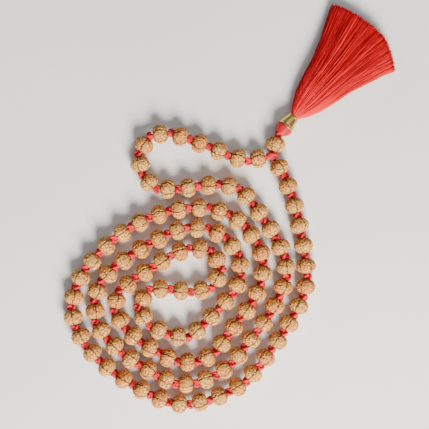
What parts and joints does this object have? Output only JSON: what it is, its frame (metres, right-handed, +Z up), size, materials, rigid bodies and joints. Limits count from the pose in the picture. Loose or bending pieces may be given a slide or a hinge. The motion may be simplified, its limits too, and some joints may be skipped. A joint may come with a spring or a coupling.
{
  "type": "mala prayer beads",
  "caption": "Closed string of grooved seed beads with red knots, a guru bead, a red wound head, a metal ferrule and a silk tassel, laid flat in a double spiral.",
  "frame": {"origin": "on the surface that the string lies on, under the middle of the laid-out string", "axes": "+Z up from the surface, +Y towards the tassel's end of the layout, +X to the side that the tassel points to"},
  "size_m": [0.1352, 0.1638, 0.0078],
  "materials": {
    "seed": "matte wrinkled seed",
    "red_thread": "twisted cotton thread",
    "head_thread": "close-wound silk thread",
    "ferrule_metal": "polished",
    "tassel_silk": "silky strands"
  },
  "bodies": {
    "string_lying": {"thread_upper": "red_thread", "thread_middle": "red_thread", "thread_left": "red_thread", "thread_right": "red_thread", "knots_lying": "red_thread", "beads_upper_1": "seed", "beads_upper_2": "seed", "beads_upper_3": "seed", "beads_upper_4": "seed", "beads_upper_5": "seed", "beads_middle_1": "seed", "beads_middle_2": "seed", "beads_middle_3": "seed", "beads_left_1": "seed", "beads_right_1": "seed"},
    "inner_turn": {"thread_inner_turn": "red_thread", "knots_inner_turn": "red_thread", "beads_inner_turn_1": "seed", "beads_inner_turn_2": "seed"},
    "outer_left": {"thread_outer_left": "red_thread", "knots_outer_left": "red_thread", "beads_outer_left_1": "seed", "beads_outer_left_2": "seed"},
    "outer_bottom": {"thread_outer_bottom": "red_thread", "knots_outer_bottom": "red_thread", "beads_outer_bottom_1": "seed", "beads_outer_bottom_2": "seed"},
    "guru_loop": {"thread_guru_loop_left": "red_thread", "thread_guru_loop_right": "red_thread", "knots_guru_loop": "red_thread", "binding_knot": "red_thread"},
    "bead_001": {"bead_001": "seed"},
    "bead_002": {"bead_002": "seed"},
    "bead_003": {"bead_003": "seed"},
    "bead_004": {"bead_004": "seed"},
    "bead_005": {"bead_005": "seed"},
    "bead_006": {"bead_006": "seed"},
    "bead_007": {"bead_007": "seed"},
    "bead_008": {"bead_008": "seed"},
    "bead_009": {"bead_009": "seed"},
    "bead_010": {"bead_010": "seed"},
    "bead_011": {"bead_011": "seed"},
    "bead_012": {"bead_012": "seed"},
    "bead_013": {"bead_013": "seed"},
    "bead_014": {"bead_014": "seed"},
    "bead_105": {"bead_105": "seed"},
    "bead_106": {"bead_106": "seed"},
    "bead_107": {"bead_107": "seed"},
    "bead_108": {"bead_108": "seed"},
    "guru_bead": {"guru_bead": "seed"},
    "guru_end": {"guru_thread": "red_thread"},
    "neck": {"neck_knot": "red_thread"},
    "tassel": {"tassel_head": "head_thread", "ferrule": "ferrule_metal", "hanger_cord": "red_thread", "stopper_knot": "red_thread", "strand_tie": "red_thread", "tassel_skirt": "tassel_silk"}
  },
  "joints": [
    {"name": "inner_turn_lift", "type": "hinge", "parent": "string_lying", "child": "inner_turn", "pos_m": [-0.03257, -0.03481, 0.0039], "axis": [-0.0695, -0.9976, 0], "range_deg": [0, 55]},
    {"name": "outer_left_lift", "type": "hinge", "parent": "string_lying", "child": "outer_left", "pos_m": [-0.04811, -0.02537, 0.0039], "axis": [0.5569, 0.8306, 0], "range_deg": [0, 55]},
    {"name": "outer_bottom_lift", "type": "hinge", "parent": "string_lying", "child": "outer_bottom", "pos_m": [-0.00769, -0.05633, 0.0039], "axis": [-0.9181, -0.3963, 0], "range_deg": [0, 55]},
    {"name": "guru_loop_lift", "type": "hinge", "parent": "string_lying", "child": "guru_loop", "pos_m": [0.01787, -0.00425, 0.0039], "axis": [0.8378, -0.5459, 0], "range_deg": [0, 70]},
    {"name": "guru_lift", "type": "hinge", "parent": "guru_loop", "child": "guru_end", "pos_m": [0.01609, 0.02143, 0.0039], "axis": [0.9703, -0.2419, 0], "range_deg": [0, 40]},
    {"name": "guru_bead_spin", "type": "hinge", "parent": "guru_end", "child": "guru_bead", "pos_m": [0.0172, 0.0259, 0.0039], "axis": [0.2419, 0.9703, 0], "continuous": true},
    {"name": "tassel_swing", "type": "hinge", "parent": "guru_end", "child": "neck", "pos_m": [0.01819, 0.02988, 0.0039], "axis": [0, 0, 1], "range_deg": [-20, 40]},
    {"name": "tassel_lift", "type": "hinge", "parent": "neck", "child": "tassel", "pos_m": [0.01819, 0.02988, 0.0039], "axis": [0.7431, -0.6691, 0], "range_deg": [0, 30]},
    {"name": "bead_001_spin", "type": "hinge", "parent": "guru_loop", "child": "bead_001", "pos_m": [0.01017, 0.02015, 0.0039], "axis": [-0.9746, -0.2238, 0], "continuous": true},
    {"name": "bead_002_spin", "type": "hinge", "parent": "guru_loop", "child": "bead_002", "pos_m": [0.00211, 0.02027, 0.0039], "axis": [-0.9592, 0.2828, 0], "continuous": true},
    {"name": "bead_003_spin", "type": "hinge", "parent": "guru_loop", "child": "bead_003", "pos_m": [-0.00555, 0.02321, 0.0039], "axis": [-0.9278, 0.373, 0], "continuous": true},
    {"name": "bead_004_spin", "type": "hinge", "parent": "guru_loop", "child": "bead_004", "pos_m": [-0.01319, 0.02622, 0.0039], "axis": [-0.9325, 0.3613, 0], "continuous": true},
    {"name": "bead_005_spin", "type": "hinge", "parent": "guru_loop", "child": "bead_005", "pos_m": [-0.02091, 0.02899, 0.0039], "axis": [-0.9623, 0.272, 0], "continuous": true},
    {"name": "bead_006_spin", "type": "hinge", "parent": "guru_loop", "child": "bead_006", "pos_m": [-0.02896, 0.02996, 0.0039], "axis": [-0.9899, -0.1416, 0], "continuous": true},
    {"name": "bead_007_spin", "type": "hinge", "parent": "guru_loop", "child": "bead_007", "pos_m": [-0.03546, 0.0256, 0.0039], "axis": [-0.5527, -0.8334, 0], "continuous": true},
    {"name": "bead_008_spin", "type": "hinge", "parent": "guru_loop", "child": "bead_008", "pos_m": [-0.03695, 0.01783, 0.0039], "axis": [0.1464, -0.9892, 0], "continuous": true},
    {"name": "bead_009_spin", "type": "hinge", "parent": "guru_loop", "child": "bead_009", "pos_m": [-0.03334, 0.01071, 0.0039], "axis": [0.7171, -0.697, 0], "continuous": true},
    {"name": "bead_010_spin", "type": "hinge", "parent": "guru_loop", "child": "bead_010", "pos_m": [-0.02594, 0.00797, 0.0039], "axis": [0.9994, -0.0358, 0], "continuous": true},
    {"name": "bead_011_spin", "type": "hinge", "parent": "guru_loop", "child": "bead_011", "pos_m": [-0.01777, 0.00858, 0.0039], "axis": [0.9862, 0.1656, 0], "continuous": true},
    {"name": "bead_012_spin", "type": "hinge", "parent": "guru_loop", "child": "bead_012", "pos_m": [-0.00963, 0.0096, 0.0039], "axis": [0.9989, 0.0466, 0], "continuous": true},
    {"name": "bead_013_spin", "type": "hinge", "parent": "guru_loop", "child": "bead_013", "pos_m": [-0.00147, 0.00914, 0.0039], "axis": [0.9796, -0.2007, 0], "continuous": true},
    {"name": "bead_014_spin", "type": "hinge", "parent": "guru_loop", "child": "bead_014", "pos_m": [0.00547, 0.00518, 0.0039], "axis": [0.6764, -0.7366, 0], "continuous": true},
    {"name": "bead_105_spin", "type": "hinge", "parent": "guru_loop", "child": "bead_105", "pos_m": [0.02662, -0.00659, 0.0039], "axis": [-0.2296, 0.9733, 0], "continuous": true},
    {"name": "bead_106_spin", "type": "hinge", "parent": "guru_loop", "child": "bead_106", "pos_m": [0.02464, 0.00138, 0.0039], "axis": [-0.2535, 0.9673, 0], "continuous": true},
    {"name": "bead_107_spin", "type": "hinge", "parent": "guru_loop", "child": "bead_107", "pos_m": [0.02213, 0.0092, 0.0039], "axis": [-0.3683, 0.9297, 0], "continuous": true},
    {"name": "bead_108_spin", "type": "hinge", "parent": "guru_loop", "child": "bead_108", "pos_m": [0.01867, 0.01664, 0.0039], "axis": [-0.4529, 0.8916, 0], "continuous": true}
  ]
}
